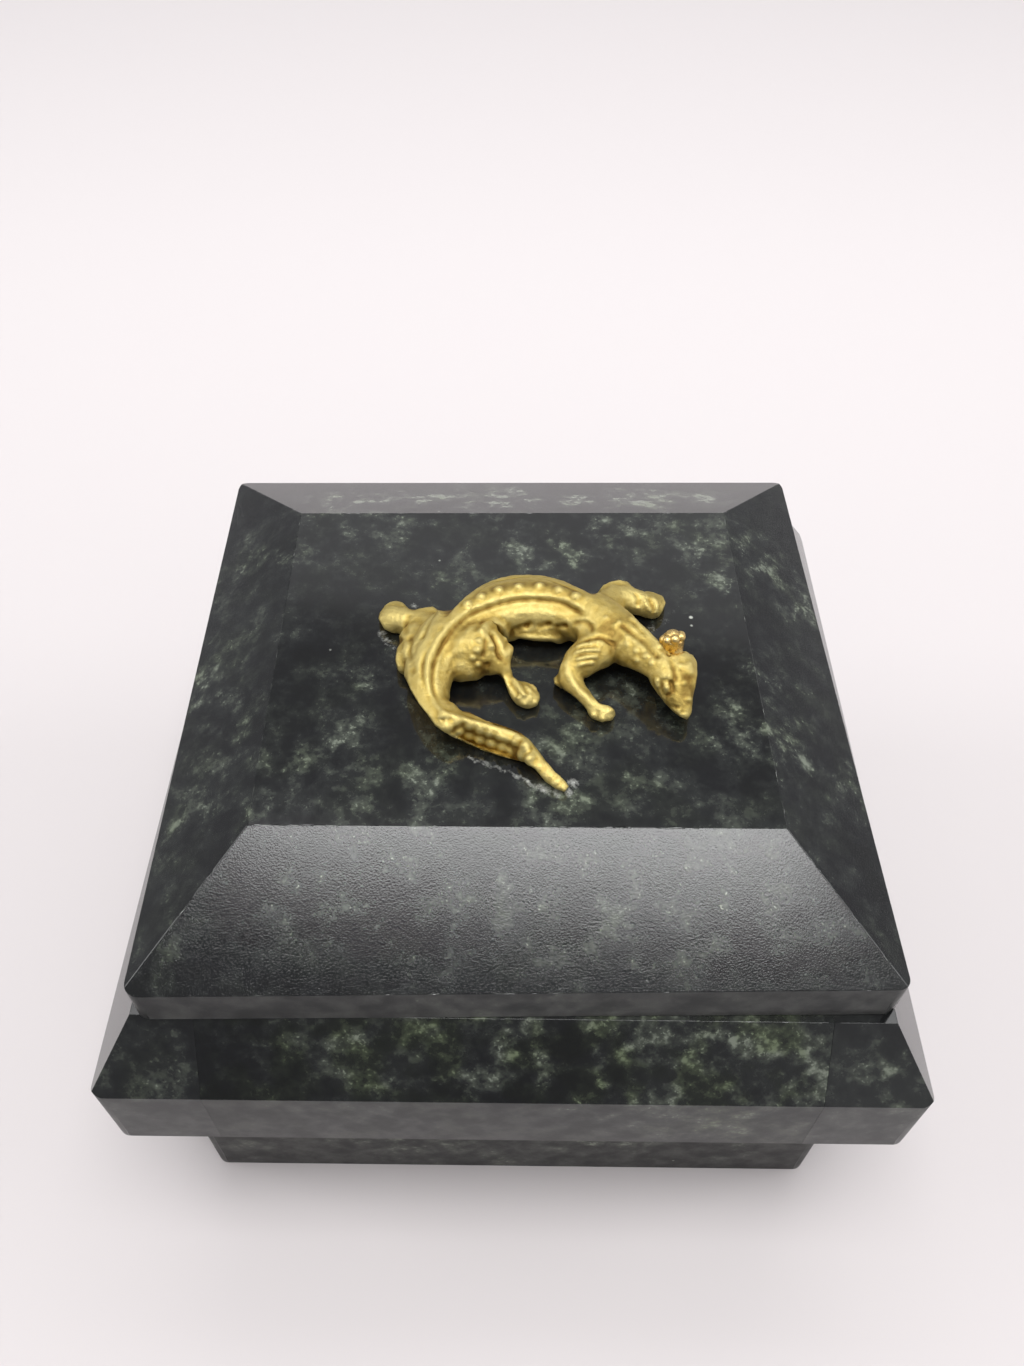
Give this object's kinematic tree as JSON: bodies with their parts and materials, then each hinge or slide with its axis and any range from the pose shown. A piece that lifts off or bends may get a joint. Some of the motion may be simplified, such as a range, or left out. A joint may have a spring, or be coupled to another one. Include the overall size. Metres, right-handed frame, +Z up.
{
  "type": "stone trinket box",
  "caption": "Square dark-green stone trinket box: low walls under an overhanging moulded rim, closed by a bevelled lift-off lid that carries a cast brass lizard.",
  "frame": {"origin": "centre of the box's underside, on the surface that it stands on", "axes": "+Z up; the front, the side that the picture shows, faces -Y; +X is to the right of that front"},
  "size_m": [0.1, 0.1, 0.0765],
  "materials": {
    "serpentine": "polished",
    "cast_brass": "satin",
    "bright_brass": "polished"
  },
  "bodies": {
    "box": {"floor_plate": "serpentine", "wall_front": "serpentine", "wall_back": "serpentine", "wall_left": "serpentine", "wall_right": "serpentine", "rim_front": "serpentine", "rim_back": "serpentine", "rim_left": "serpentine", "rim_right": "serpentine"},
    "lid": {"lid_slab": "serpentine", "lid_plate": "serpentine", "lizard": "cast_brass", "crest_knob": "bright_brass"}
  },
  "joints": [
    {"name": "lid_lift", "type": "slide", "parent": "box", "child": "lid", "axis": [0, 0, 1], "range_m": [0, 0.06]}
  ]
}
